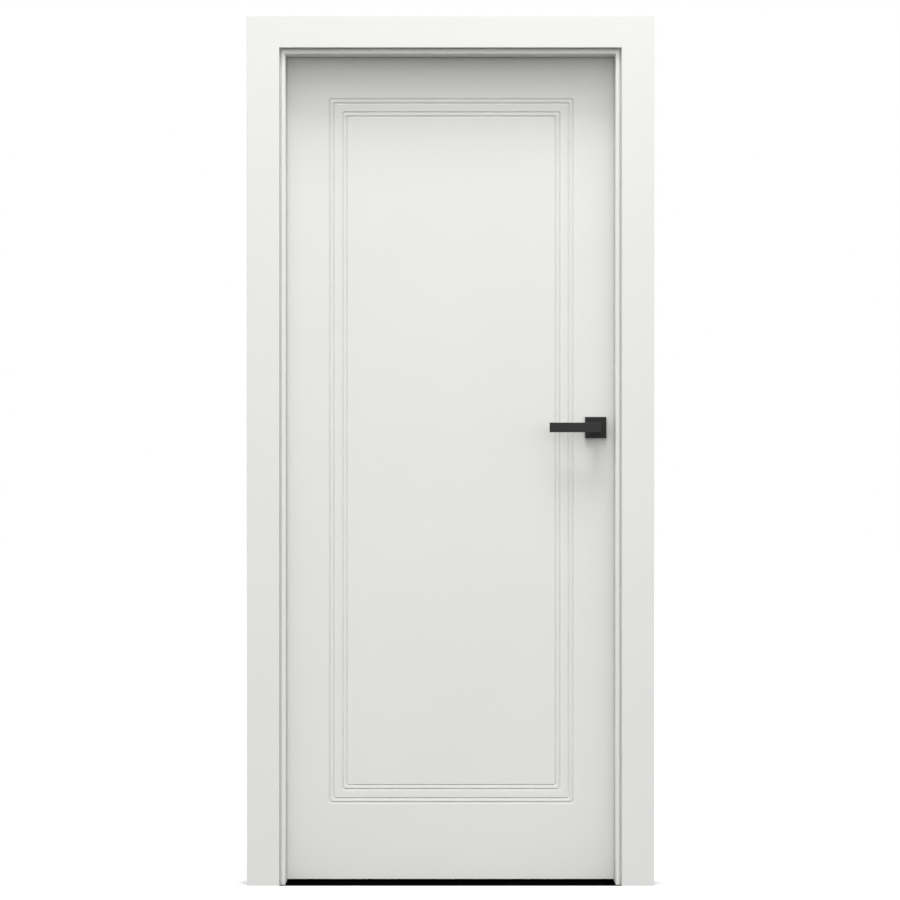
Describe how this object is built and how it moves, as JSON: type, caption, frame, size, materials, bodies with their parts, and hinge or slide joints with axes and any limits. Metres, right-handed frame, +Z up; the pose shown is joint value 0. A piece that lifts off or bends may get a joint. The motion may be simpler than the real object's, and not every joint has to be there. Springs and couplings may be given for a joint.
{
  "type": "interior door set",
  "caption": "Hinged white interior door with milled rectangular grooves and a black lever handle, hung in an adjustable frame with architraves.",
  "frame": {"origin": "on the outer flat face of the hinge side lining, where the frame is screwed to the wall, at floor level and in the plane of the wall's front face", "axes": "+X from the hinge side to the lock side, +Y from the push side through the wall to the side the leaf opens to, +Z up"},
  "size_m": [0.987, 0.177, 2.109],
  "materials": {
    "frame_white": "satin white lacquer foil on fibreboard",
    "leaf_white": "satin white lacquer on fibreboard",
    "core_board": "raw chipboard, hidden",
    "gasket": "matte grey soft seal",
    "threshold": "matte black",
    "handle_black": "matte black powder coat",
    "hinge_steel": "satin nickel",
    "lock_steel": "brushed stainless"
  },
  "bodies": {
    "frame": {"hinge_lining": "frame_white", "hinge_stop": "frame_white", "front_architrave_hinge": "frame_white", "back_architrave_hinge": "frame_white", "hinge_gasket": "gasket", "lock_lining": "frame_white", "lock_stop": "frame_white", "front_architrave_lock": "frame_white", "back_architrave_lock": "frame_white", "lock_gasket": "gasket", "head_lining": "frame_white", "head_stop": "frame_white", "front_architrave_head": "frame_white", "back_architrave_head": "frame_white", "head_gasket": "gasket", "threshold": "threshold", "strike_plate": "lock_steel", "hinge_frame_half_lower": "hinge_steel", "hinge_pin_lower": "hinge_steel", "hinge_frame_half_middle": "hinge_steel", "hinge_pin_middle": "hinge_steel", "hinge_frame_half_upper": "hinge_steel", "hinge_pin_upper": "hinge_steel"},
    "leaf": {"leaf_front_panel": "leaf_white", "leaf_back_panel": "leaf_white", "hinge_stile": "leaf_white", "lock_stile": "leaf_white", "top_rail": "leaf_white", "bottom_rail": "leaf_white", "leaf_core": "core_board", "lock_forend": "lock_steel", "latch_bolt": "lock_steel", "front_rose": "handle_black", "back_rose": "handle_black", "hinge_leaf_half_lower": "hinge_steel", "hinge_leaf_half_middle": "hinge_steel", "hinge_leaf_half_upper": "hinge_steel"},
    "handle": {"front_lever": "handle_black", "back_lever": "handle_black", "handle_spindle": "lock_steel"}
  },
  "joints": [
    {"name": "leaf_hinge", "type": "hinge", "parent": "frame", "child": "leaf", "pos_m": [0.0065, 0.0965, 1], "axis": [0, 0, 1], "range_deg": [0, 120]},
    {"name": "handle_turn", "type": "hinge", "parent": "leaf", "child": "handle", "pos_m": [0.792, 0.087, 1.1105], "axis": [0, -1, 0], "range_deg": [0, 40], "stiffness_Nm_per_rad": 1.5, "springref_deg": -28.65}
  ]
}
